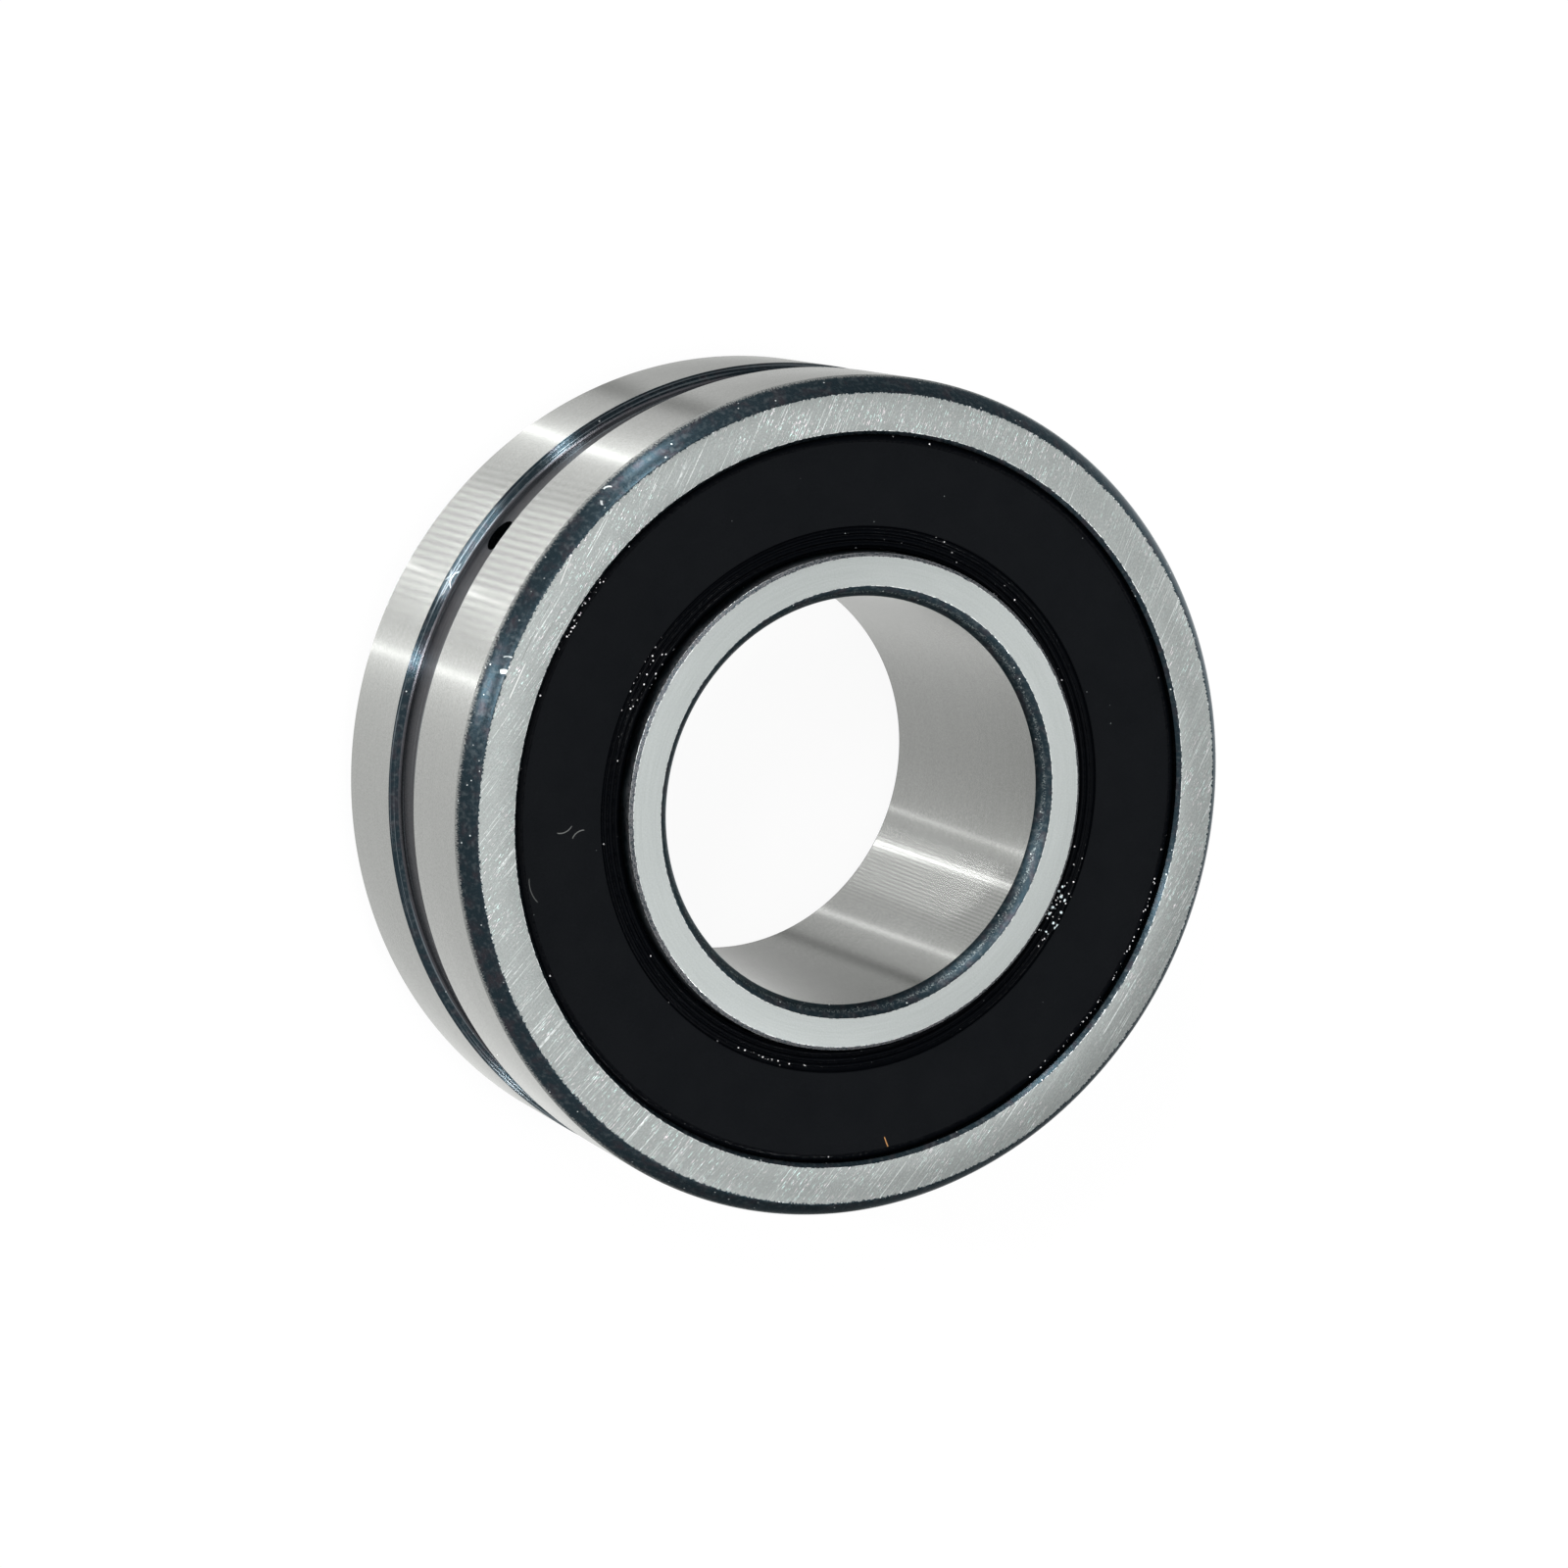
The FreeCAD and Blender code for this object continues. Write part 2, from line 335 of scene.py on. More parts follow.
# Inner pieces
raceway_bright = (0.56, 0.56, 0.55)
roller_bright = (0.58, 0.58, 0.57)
cage_phosphate = (0.46, 0.43, 0.37)
plate_grey = (0.42, 0.43, 0.44)
iron_dark = (0.16, 0.155, 0.145)
iron_light = (0.26, 0.25, 0.235)
iron_pore = (0.04, 0.04, 0.038)

# Chatter ribs, partly a painted reflection: waves in a radian of the ring, and how far they reach
# in degrees
chatter_waves = 300.0
chatter_reach = 15.0

# A quarter turn, for lines that run round the axis
round_the_axis = 0.25


def ground_cylinder(name, shade, chatter_at):
    """Ground outside or bore: fine lines round it, grit, and chatter ribs, partly a painted
    reflection, in one sector.
    """
    finish = Finish(name)
    lines = finish.rings(finish.z, turns=14.0, lines=9.0, detail=3.0)
    bands = finish.rings(finish.z, turns=2.0, lines=1.3, shift=7.0)
    grain = finish.cloud(5.5)
    broken = finish.cloud(0.5, detail=2.0, shift=6.0)
    wave = finish.x.worked("COSINE", finish.azimuth * chatter_waves + bands * 0.4)
    # Chatter in one sector: a faint relief, and ribs in the colour that are a painted reflection
    chatter = wave * finish.sector(chatter_at, chatter_reach) * broken
    tone = 0.665 + lines * 0.16 + bands * 0.06 + grain * 0.45 + chatter * 0.20
    # A shade below 1 darkens the whole colour; the bore's copy takes it as painted shade
    colour = finish.scaled(steel_warm, tone * shade)
    return finish.done(colour, metallic=1.0, roughness=0.245,
                       normal=finish.bump(chatter, microns=0.4),
                       Anisotropic=1.0, Anisotropic_Rotation=round_the_axis)


def ground_outer_face():
    """Face ground by a large wheel: its marks are long arcs about the wheel's centre. At its
    rim the grinding ran out in a ragged line on the dark chamfer."""
    finish = Finish("steel_ground_outer_face")
    wheel_x, wheel_y, wheel_r = 168.0, 18.0, 168.0
    from_x, from_y = finish.x - wheel_x, finish.y - wheel_y
    across = (from_x * from_x + from_y * from_y) ** 0.5
    along = finish.x.worked("ARCTAN2", from_y, 0 - from_x) * wheel_r
    grit = finish.noise(across * 8.0, along * 6.0, finish.z)
    grain = finish.noise(across * 9.0, along * 0.6, finish.z, detail=3.0)
    line = finish.noise(across * 21.0, along * 0.26, finish.z + 5.0, detail=0.0)
    dash = finish.noise(across * 14.0, along * 2.4, finish.z + 9.0)
    long_line = finish.noise(across * 10.0, along * 0.10, finish.z + 2.0, detail=0.0)
    tint = finish.noise(across * 3.0, along * 1.4, finish.z + 3.0, detail=0.0)
    busy = finish.rise(finish.cloud(0.12, detail=2.0, shift=4.0), 0.36, 0.60) * 0.65 + 0.35
    # Painted glints in green and pink along the grinding lines
    spark = finish.rise(line, 0.58, 0.67) * finish.rise(dash, 0.50, 0.60) * busy
    scratch = finish.rise(long_line, 0.70, 0.77) * finish.rise(dash, 0.36, 0.5)
    base = finish.scaled(steel_cool, 0.52 + grain * 0.36 + grit * 0.60)
    glint = finish.blend(finish.rise(tint, 0.45, 0.6), glint_green, glint_pink)
    colour = finish.blend(spark, base, glint)
    colour = finish.blend(scratch * 0.6, colour, scratch_white)
    for x, y, way, length, shade in (
            (31.8, 10.5, 103.0, 3.4, 0.95), (34.2, 0.9, 106.0, 3.0, 0.9),
            (33.1, 6.5, 101.0, 6.0, 0.16), (32.3, 5.2, 96.0, 5.0, 0.2)):
        mark = finish.hair(x, y, way, length, bend_r=90.0, width=0.05)
        colour = finish.blend(mark * 0.6, colour, (shade, shade, shade))
    rim = (outer_r - chamfer_r) * MM
    ragged = finish.cloud(4.5)
    missed = finish.rise(finish.radius + (ragged - 0.5) * 0.7, rim - 0.10, rim - 0.05)
    colour = finish.blend(missed, colour, oxide_teal)
    chips = (finish.dust(spacing=0.36, size=0.10, share=0.30)
             * finish.near(finish.radius, rim - 0.04, 0.16))
    colour = finish.blend(chips, colour, speck_white)
    return finish.done(colour, metallic=1.0, roughness=0.31 - spark * 0.05,
                       normal=finish.bump(grain + grit, microns=3.5))


def ground_inner_face():
    """Face of the inner ring, ground finer and round the axis."""
    finish = Finish("steel_ground_inner_face")
    lines = finish.rings(finish.radius, turns=5.0, lines=9.0, detail=3.0)
    streaks = finish.rings(finish.radius, turns=1.6, lines=2.6, detail=3.0, shift=4.0)
    grain = finish.cloud(7.0)
    pits = finish.dust(spacing=1.7, size=0.07, share=0.12, shift=3.0)
    tone = 0.67 + lines * 0.20 + streaks * 0.10 + grain * 0.28 - pits * 0.3
    colour = finish.scaled(steel_fine, tone)
    return finish.done(colour, metallic=1.0, roughness=0.44,
                       normal=finish.bump(lines + grain, microns=1.5),
                       Anisotropic=0.3, Anisotropic_Rotation=round_the_axis)


def worn_edge():
    """Bright line where grinding broke an edge, with dark gaps where it missed."""
    finish = Finish("steel_edge")
    gaps = finish.rise(finish.cloud(3.4, detail=4.0), 0.42, 0.52)
    colour = finish.blend(gaps, oxide_grey, steel_bright)
    return finish.done(colour, metallic=1.0, roughness=0.3)


def oxide_colour(finish, spot_share):
    """Teal and brown clouds of hardening oxide, with specks and scratches, and its relief."""
    cloud = finish.cloud(0.9, detail=5.0)
    patch = finish.cloud(2.6, detail=4.0, shift=11.0)
    lines = finish.rings(finish.z - finish.radius, turns=9.0, lines=10.0)
    grit = finish.cloud(8.0, detail=2.0, shift=3.0)
    colour = finish.blend(finish.rise(cloud, 0.46, 0.72) * 0.7, oxide_teal, oxide_brown)
    colour = finish.blend(finish.rise(patch, 0.48, 0.74) * 0.6, colour, oxide_grey)
    colour = finish.blend(finish.rise(lines + grit, 1.05, 1.5) * 0.5, colour, oxide_grey)
    specks = finish.dust(spacing=0.55, size=0.085, share=spot_share)
    colour = finish.blend(specks, colour, speck_white)
    return colour, cloud + patch * 0.5 + lines * 0.3, patch


def dark_oxide():
    """Turned surface left black from hardening, and feathered where the ground outside ends."""
    finish = Finish("steel_black_oxide")
    colour, relief, patch = oxide_colour(finish, spot_share=0.24)
    streaks = finish.noise(finish.x * 9.0, finish.y * 9.0, finish.z * 1.2)
    rim = outer_r * MM
    rubbed = finish.rise(finish.radius + (streaks - 0.5) * 0.5, rim - 0.22, rim - 0.04)
    colour = finish.blend(rubbed, colour, steel_rubbed)
    for x, y, way, length, width, share in (
            (33.02, 10.5, 20.0, 0.9, 0.22, 1.0), (33.6, 9.4, 35.0, 0.7, 0.05, 0.5),
            (35.1, -6.6, 60.0, 0.7, 0.07, 0.7), (34.9, -5.2, 120.0, 0.4, 0.1, 0.5)):
        flake = finish.hair(x, y, way, length, bend_r=0.6, width=width)
        colour = finish.blend(flake * share, colour, speck_white)
    return finish.done(colour, metallic=1.0, roughness=0.2 + patch * 0.16,
                       normal=finish.bump(relief, microns=0.6), Specular_Tint=dull_edge_on)


def inner_ring_oxide():
    """Black of the inner ring's edges. Grinding has feathered it grey along the top of the
    shoulder, and left a speckled line in the bore's chamfer."""
    finish = Finish("steel_inner_oxide")
    colour, relief, patch = oxide_colour(finish, spot_share=0.12)
    top = face_z * MM
    grit = finish.cloud(7.0, shift=5.0)
    broad = finish.cloud(0.22, detail=2.0, shift=8.0)
    depth = top - finish.z
    outside = finish.rise(finish.radius, 19.8, 20.4)
    fade = 1 - finish.rise(depth + (grit - 0.5) * 2.4, 0.1, 0.4 + broad * 2.6)
    worn = fade * outside * finish.rise(grit, 0.36, 0.64)
    colour = finish.blend(worn, colour, worn_shoulder)
    line = finish.near(finish.radius, bore_r * MM + 0.42, 0.2) * (1 - outside)
    colour = finish.blend(line * finish.rise(grit, 0.50, 0.62) * 0.7, colour, worn_line)
    return finish.done(colour, metallic=1 - worn * 0.8,
                       roughness=0.26 + patch * 0.2 + worn * 0.2,
                       normal=finish.bump(relief, microns=2.5), Specular_Tint=dull_edge_on)


def turned_oxide():
    """Flank of the lubrication groove: black oxide over coarse turning lines, with a fibre."""
    finish = Finish("steel_turned_oxide")
    colour, relief, _ = oxide_colour(finish, spot_share=0.10)
    lines = finish.rings(finish.radius, turns=1.5, lines=7.0)
    colour = finish.blend(finish.rise(lines, 0.54, 0.62) * 0.7, colour, turning_line)
    for x, y, way, length, bend_r, share in (
            (35.25, 5.0, 99.5, 1.9, 1.1, 0.55), (35.45, 4.9, 96.0, 1.3, -0.8, 0.4),
            (35.2, 5.1, 97.0, 3.4, 30.0, 0.35)):
        strand = finish.hair(x, y, way, length, bend_r, width=0.07)
        colour = finish.blend(strand * share, colour, fibre_grey)
    return finish.done(colour, metallic=1.0, roughness=0.2,
                       normal=finish.bump(lines + relief * 0.05, microns=30.0),
                       Anisotropic=1.0, Anisotropic_Rotation=round_the_axis)


def groove_floor():
    """Floor of the lubrication groove, turned and blue-grey, with fine lines round it."""
    finish = Finish("steel_groove_floor")
    lines = finish.rings(finish.z, turns=2.0, lines=4.0, detail=3.0)
    broad = finish.rings(finish.z, turns=1.0, lines=3.0, shift=9.0)
    cloud = finish.cloud(1.1, detail=4.0)
    grain = finish.cloud(6.0, shift=5.0)
    colour = finish.blend(cloud, groove_blue, groove_brown)
    colour = finish.scaled(colour, 0.05 + lines + grain * 0.8)
    colour = finish.blend(finish.rise(broad, 0.58, 0.70) * 0.8, colour, groove_bright)
    return finish.done(colour, metallic=1.0, roughness=0.24,
                       normal=finish.bump(lines, microns=8.0),
                       Anisotropic=0.6, Anisotropic_Rotation=round_the_axis)


def polished_steel(name, tone, lines_in_mm):
    """Superfinished raceway or roller: near mirror, with a trace of honing lines."""
    finish = Finish(name)
    lines = finish.rings(finish.z, turns=8.0, lines=lines_in_mm)
    haze = finish.cloud(0.5)
    colour = finish.scaled(tone, 0.94 + lines * 0.05 + haze * 0.05)
    return finish.done(colour, metallic=1.0, roughness=0.1 + haze * 0.08,
                       normal=finish.bump(lines, microns=0.6))


def matt_rubber():
    """Moulded nitrile rubber: matt black, with dust and a few fibres on it."""
    finish = Finish("rubber_matt")
    skin = finish.cloud(9.0)
    patch = finish.cloud(0.35, shift=2.0)
    colour = finish.blend(patch, matt_dark, matt_light)
    colour = finish.scaled(colour, 0.55 + skin * 0.9)
    big = finish.dust(spacing=4.5, size=0.11, share=0.35)
    small = finish.dust(spacing=1.3, size=0.065, share=0.25, shift=7.0)
    colour = finish.blend(small * 0.2 + big * 0.5, colour, dust_grey)
    for x, y, way, length, bend_r, share, paint in (
            (20.1, 17.5, -120.0, 1.6, 1.2, 0.22, lint_pale),
            (19.2, 16.9, -110.0, 1.4, -1.1, 0.22, lint_pale),
            (19.5, 23.1, 150.0, 2.4, 2.6, 0.15, lint_dim),
            (-21.7, 21.1, 152.0, 1.6, 9.0, 0.9, thread_orange)):
        strand = finish.hair(x, y, way, length, bend_r, width=0.06)
        colour = finish.blend(strand * share, colour, paint)
    return finish.done(colour, metallic=0.0, roughness=0.62 - patch * 0.1,
                       normal=finish.bump(skin, microns=6.0), Specular_IOR_Level=0.028)


def gloss_rubber():
    """Wet-looking black rubber of the bead and the lip, with painted glints in white, pink and
    blue.
    """
    finish = Finish("rubber_gloss")
    ripple = finish.rings(finish.radius - finish.z, turns=34.0, lines=1.6)
    grit = finish.cloud(3.2, detail=2.0, shift=5.0)
    colour = finish.blend(ripple, gloss_dark, gloss_light)
    # Where the painted glints go: sectors of the bead's crest, a row by the lip, a patch of
    # larger blue dots, and dashes on the channel
    crest = finish.near(finish.radius, seat_r * MM - 0.34, 0.30)
    left = finish.sector(5.0, 8.0)
    clusters = (left * 0.6 + finish.sector(6.0, 20.0) * 0.3 + finish.sector(-172.0, 30.0)
                + 0.03) * crest
    inner_row = finish.rise(lip_zone_r * MM + 0.1 - finish.radius, 0.0, 0.2)
    patches = finish.sector(-167.0, 14.0) + finish.sector(8.0, 12.0) * 0.5
    dashes = finish.sector(112.0, 16.0) * finish.near(finish.radius, 22.95, 0.16)
    share = clusters * 0.9 + (patches * 0.5 + 0.015) * inner_row + dashes
    pool = finish.sector(-169.0, 7.0) * inner_row * 0.5
    beads = finish.dust(spacing=0.31, size=0.085, share=share * 1.2)
    tiny = finish.dust(spacing=0.26, size=0.065, share=left * crest, shift=5.0)
    drops = finish.dust(spacing=0.42, size=0.16, share=pool, shift=9.0)
    fine = finish.dust(spacing=0.7, size=0.06, share=0.07, shift=3.0)
    # The white, pink and blue dots are painted glints
    colour = finish.blend(beads, colour, oil_white)
    colour = finish.blend(tiny, colour, oil_pink)
    colour = finish.blend(drops, colour, oil_blue)
    colour = finish.blend(fine * 0.4, colour, speck_white)
    return finish.done(colour, metallic=0.0, roughness=0.12,
                       normal=finish.bump(ripple + grit * 0.8, microns=50.0),
                       Specular_IOR_Level=0.03)


def stamped_steel(name, tone):
    """Cold-rolled sheet, pickled: soft grey with faint clouds."""
    finish = Finish(name)
    cloud = finish.cloud(0.8, detail=4.0)
    grain = finish.cloud(8.0, detail=2.0)
    colour = finish.scaled(tone, 0.82 + cloud * 0.25 + grain * 0.08)
    return finish.done(colour, metallic=1.0, roughness=0.34 + cloud * 0.15,
                       normal=finish.bump(grain, microns=3.0))


def guide_iron():
    """Sintered iron of the guide ring: dark, fine-pored and oily."""
    finish = Finish("iron_sintered")
    pores = finish.dust(spacing=0.28, size=0.1, share=0.5)
    cloud = finish.cloud(1.2, detail=4.0)
    colour = finish.blend(cloud, iron_dark, iron_light)
    colour = finish.blend(pores * 0.6, colour, iron_pore)
    return finish.done(colour, metallic=1.0, roughness=0.38,
                       normal=finish.bump(1 - pores, microns=6.0))


class Section:
    """Half section of a turned ring: points, each with the finish of the stretch before it."""

    def __init__(self, r, z):
        self.points = [(Vector((r, z)), None, 0.0)]

    def to(self, r, z, finish, ease=0.0):
        """Straight on to a point, whose corner may be rounded."""
        self.points.append((Vector((r, z)), finish, ease))
        return self

    def bow(self, r, z, sag, finish, ease=0.0, steps=arc_steps):
        """On to a point along an arc that stands out to the right by sag, or in if negative."""
        start, end = self.points[-1][0], Vector((r, z))
        half = (end - start) / 2
        out = Vector((half.y, -half.x)).normalized() * math.copysign(1, sag)
        radius = (half.length_squared + sag ** 2) / (2 * abs(sag))
        centre = start + half - out * (radius - abs(sag))
        sweep = math.asin(half.length / radius)
        for step in range(1, steps + 1):
            turn = sweep * (2 * step / steps - 1)
            place = centre + radius * (out * math.cos(turn) + half.normalized() * math.sin(turn))
            self.points.append((place, finish, ease if step == steps else 0.0))
        return self

    def eased(self, edge_finish):
        """All points, with the marked corners rounded: small ones in the finish of edges, and
        larger ones in that of the stretch before them."""
        smooth = []
        for number, (tip, finish, ease) in enumerate(self.points):
            if not ease:
                smooth.append((tip, finish))
                continue
            after = self.points[(number + 1) % len(self.points)][0]
            back = (self.points[number - 1][0] - tip).normalized()
            ahead = (after - tip).normalized()
            half = back.angle(ahead) / 2
            reach = ease / math.tan(half)
            centre = tip + (back + ahead).normalized() * ease / math.sin(half)
            first, last = tip + back * reach - centre, tip + ahead * reach - centre
            smooth.append((centre + first, finish))
            for step in range(1, ease_steps + 1):
                spoke = first.lerp(last, step / ease_steps).normalized() * ease
                smooth.append((centre + spoke, edge_finish if ease <= edge_break else finish))
        return smooth


def wear(piece, finishes):
    """Gives a piece its materials, in order."""
    piece.data.materials.clear()
    for finish in finishes:
        piece.data.materials.append(finish)


def turned(name, outline):
    """Draws an outline of (point, finish) and spins it once round the axis."""
    bpy.ops.object.select_all(action="DESELECT")
    bpy.ops.mesh.primitive_plane_add(size=edge_break)
    ring = bpy.context.object
    ring.name = ring.data.name = name
    bpy.ops.object.mode_set(mode="EDIT")
    bpy.ops.mesh.select_all(action="SELECT")
    bpy.ops.mesh.merge(type="CENTER")
    here = Vector((0, 0))
    for number, (point, _) in enumerate(outline):
        step = (point.x - here.x, 0, point.y - here.y)
        if number:
            bpy.ops.mesh.extrude_region_move(TRANSFORM_OT_translate={"value": step})
        else:
            bpy.ops.transform.translate(value=step)
        here = point
    bpy.ops.mesh.select_all(action="SELECT")
    bpy.ops.mesh.spin(steps=turn_steps, angle=2 * math.pi, center=(0, 0, 0), axis=(0, 0, 1))
    tidy_shell()
    bpy.ops.object.mode_set(mode="OBJECT")
    finishes = list(dict.fromkeys(finish for _, finish in outline[1:]))
    wear(ring, finishes)
    tree = kdtree.KDTree(len(outline) - 1)
    for number in range(1, len(outline)):
        middle = (outline[number - 1][0] + outline[number][0]) / 2
        tree.insert((middle.x, middle.y, 0), number)
    tree.balance()
    bands = []
    for face in ring.data.polygons:
        place = Vector((face.center.xy.length, face.center.z, 0))
        bands.append(finishes.index(outline[tree.find(place)[1]][1]))
    ring.data.polygons.foreach_set("material_index", bands)
    return ring


def tidy_shell():
    """Merges the seams of the mesh in edit mode and turns its faces outwards."""
    bpy.ops.mesh.select_all(action="SELECT")
    bpy.ops.mesh.remove_doubles(threshold=weld_gap)
    bpy.ops.mesh.normals_make_consistent(inside=False)


def both_halves(ring):
    """Mirrors a front half to the rear."""
    modifier = ring.modifiers.new("rear half", "MIRROR")
    modifier.use_axis = (False, False, True)
    modifier.merge_threshold = weld_gap
    bpy.ops.object.modifier_apply(modifier=modifier.name)
    bpy.ops.object.mode_set(mode="EDIT")
    tidy_shell()
    bpy.ops.object.mode_set(mode="OBJECT")


def shaded(piece):
    """Smooth over curves and sharp at edges."""
    bpy.ops.object.select_all(action="DESELECT")
    piece.select_set(True)
    bpy.context.view_layer.objects.active = piece
    bpy.ops.object.shade_smooth_by_angle(angle=smooth_angle)


def drill_oil_holes(ring, hole_finish):
    """Cuts the radial holes through the floor of the lubrication groove."""
    reach = outer_r - crest_r
    middle = (outer_r + crest_r) / 2
    for number in range(oil_hole_count):
        turn = 2 * math.pi * number / oil_hole_count
        bpy.ops.object.select_all(action="DESELECT")
        bpy.ops.mesh.primitive_cylinder_add(
            vertices=hole_sides, radius=oil_hole_r, depth=reach, rotation=(0, math.pi / 2, turn),
            location=(middle * math.cos(turn), middle * math.sin(turn), 0))
        drill = bpy.context.object
        wear(drill, [hole_finish])
        cut = ring.modifiers.new("oil hole", "BOOLEAN")
        cut.operation = "DIFFERENCE"
        cut.solver = "EXACT"
        cut.material_mode = "TRANSFER"
        cut.object = drill
        bpy.ops.object.select_all(action="DESELECT")
        bpy.context.view_layer.objects.active = ring
        bpy.ops.object.modifier_apply(modifier=cut.name)
        bpy.data.objects.remove(drill)


def outer_ring_section(outside, face, oxide, flank, groove, raceway, edge):
    """Front half of the outer ring, from the groove's floor round to the raceway."""
    floor_r = outer_r - groove_depth
    rim_r = outer_r - chamfer_r
    snap_high, snap_low = face_z - snap_top, face_z - snap_top - snap_width
    section = Section(floor_r, 0)
    section.to(floor_r, groove_floor_half, groove, groove_corner)
    section.to(outer_r, groove_half, flank, plain_edge)
    section.to(outer_r, face_z - chamfer_z, outside, soft_edge)
    section.bow(rim_r, face_z, chamfer_bulge, oxide, plain_edge)
    section.to(seat_r + seat_chamfer_r, face_z, face, edge_break)
    section.to(seat_r, face_z - seat_chamfer_z, oxide, soft_edge)
    section.to(seat_r, snap_high, oxide)
    section.bow(seat_r, snap_low, -snap_depth, oxide)
    section.to(seat_r, seat_z, oxide)
    section.to(seat_floor_r, seat_z, oxide)
    lean = math.asin(seat_z / sphere_r)
    for step in range(1, raceway_steps + 1):
        turn = lean * (1 - step / raceway_steps)
        section.to(sphere_r * math.cos(turn), sphere_r * math.sin(turn), raceway)
    return section.eased(edge)


def inner_ring_section(face, bore, oxide, raceway, edge):
    """Front half of the inner ring, from the crest over the raceway and round to the bore."""
    race_start = Vector((crest_r, crest_half))
    race_end = Vector((land_r - land_step, land_z - land_step))
    sag = (raceway_middle - (race_start + race_end) / 2).length
    section = Section(crest_r, 0)
    section.to(*race_start, raceway)
    section.bow(*race_end, -sag, raceway, steps=raceway_steps)
    section.to(land_r, land_z, oxide)
    section.to(land_r, face_z - land_bevel_z, oxide, edge_break)
    section.to(land_r - land_bevel_r, face_z, oxide, edge_break)
    section.to(bore_r + bore_chamfer_r, face_z, face, edge_break)
    section.bow(bore_r, face_z - bore_chamfer_z, chamfer_bulge, oxide, soft_edge)
    section.to(bore_r, 0, bore)
    return section.eased(edge)


def seal_section(matt, gloss):
    """Front seal's rubber: foot, snap bead, face, ridged channel, lip and the plate's side."""
    bead_r = seat_r - bead_width
    snap_high, snap_low = face_z - snap_top, face_z - snap_top - snap_width
    face_out, face_in = face_z - seal_depth_out, face_z - seal_depth_in
    shoulder_z = face_in - shoulder_drop
    tip_z = face_in - lip_depth
    section = Section(seat_r, seat_z)
    section.to(seat_r, snap_low, gloss)
    section.bow(seat_r, snap_high, snap_depth, gloss)
    section.bow(bead_r, face_out, bead_height, gloss)
    section.to(lip_zone_r, face_in, matt, soft_edge)
    section.bow(lip_zone_r - shoulder_r, shoulder_z, -soft_edge, gloss)
    ridged_channel(section, shoulder_z, gloss)
    section.to(lip_r, tip_z, gloss, edge_break)
    section.to(lip_r, tip_z - lip_tip, gloss)
    section.to((lip_r + lip_zone_r) / 2, tip_z - lip_tip - lip_back, matt)
    rim_r = seat_r - plate_rim_wall
    edge_r = lip_zone_r + lip_root
    plate_out, plate_in = face_out - rubber_thickness, face_in - rubber_thickness
    section.to(edge_r, plate_in - plate_thickness, matt)
    section.to(edge_r, plate_in, matt)
    section.to(rim_r, plate_out, matt, plate_bend)
    section.to(rim_r, seat_z, matt)
    section.to(seat_r, seat_z, matt)
    return section.eased(gloss)


def ridged_channel(section, z, gloss):
    """Round ridges from the shoulder in towards the lip, each a little lower."""
    r = lip_zone_r - shoulder_r
    pitch = (r - lip_r) / ridge_count
    valley = valley_share * pitch
    for number in range(ridge_count):
        section.bow(r - (pitch - valley), z - ridge_step, ridge_height, gloss)
        r, z = r - pitch, z - ridge_step
        if number < ridge_count - 1:
            section.bow(r, z, -ridge_step, gloss, steps=valley_steps)


def to_the_rear(piece, name):
    """A copy of a front piece, mirrored to the rear."""
    bpy.ops.object.select_all(action="DESELECT")
    piece.select_set(True)
    bpy.context.view_layer.objects.active = piece
    bpy.ops.object.duplicate()
    copy = bpy.context.object
    copy.name = copy.data.name = name
    bpy.ops.object.mode_set(mode="EDIT")
    bpy.ops.mesh.select_all(action="SELECT")
    bpy.ops.transform.resize(value=(1, 1, -1), center_override=(0, 0, 0))
    tidy_shell()
    bpy.ops.object.mode_set(mode="OBJECT")
    return copy


def build_rings():
    """The two rings and both seals, in place of their plain solids."""
    oxide = dark_oxide()
    raceway = polished_steel("steel_raceway", raceway_bright, lines_in_mm=14.0)
    edge = worn_edge()
    gloss, matt = gloss_rubber(), matt_rubber()
    outer = turned("outer_ring_finished", outer_ring_section(
        ground_cylinder("steel_ground_outside", shade=0.94, chatter_at=2.5),
        ground_outer_face(), oxide, turned_oxide(), groove_floor(), raceway, edge))
    both_halves(outer)
    drill_oil_holes(outer, oxide)
    inner = turned("inner_ring_finished", inner_ring_section(
        ground_inner_face(),
        # The bore's copy is painted darker: painted shade for the inside of the bore
        ground_cylinder("steel_ground_bore", shade=0.70, chatter_at=182.5),
        inner_ring_oxide(), raceway, edge))
    both_halves(inner)
    front = turned("seal_front_moulded", seal_section(matt, gloss))
    rear = to_the_rear(front, "seal_rear_moulded")
    for piece in (outer, inner, front, rear):
        shaded(piece)
    stand_in(outer, "outer", "outer_ring")
    stand_in(inner, "inner", "inner_ring")
    stand_in(front, "outer", "seal_rubber_front")
    stand_in(rear, "outer", "seal_rubber_rear")


def stand_in(piece, body, node):
    """Rides a piece on its body in place of a plain solid."""
    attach(piece, body)
    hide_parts(node)


def finish_inner_pieces():
    """Materials of the pieces that keep their own solids."""
    finishes = {
        "roller": polished_steel("steel_roller", roller_bright, lines_in_mm=20.0),
        "cage": stamped_steel("steel_cage", cage_phosphate),
        "seal_plate": stamped_steel("steel_seal_plate", plate_grey),
        "guide_ring": guide_iron(),
    }
    for name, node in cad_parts.items():
        for kind, finish in finishes.items():
            if name.startswith(kind):
                wear(node, [finish])


# Camera: where it stands round the lying bearing, its roll, and the picture's centre
camera_azimuth = math.radians(108.30)
camera_elevation = math.radians(62.49)
camera_roll = math.radians(109.60)
camera_distance = 0.362593
centre_right = 0.000404
centre_up = 0.000496
sensor_width = 36.0
focal_length = 95.37
nearest_seen = 0.01


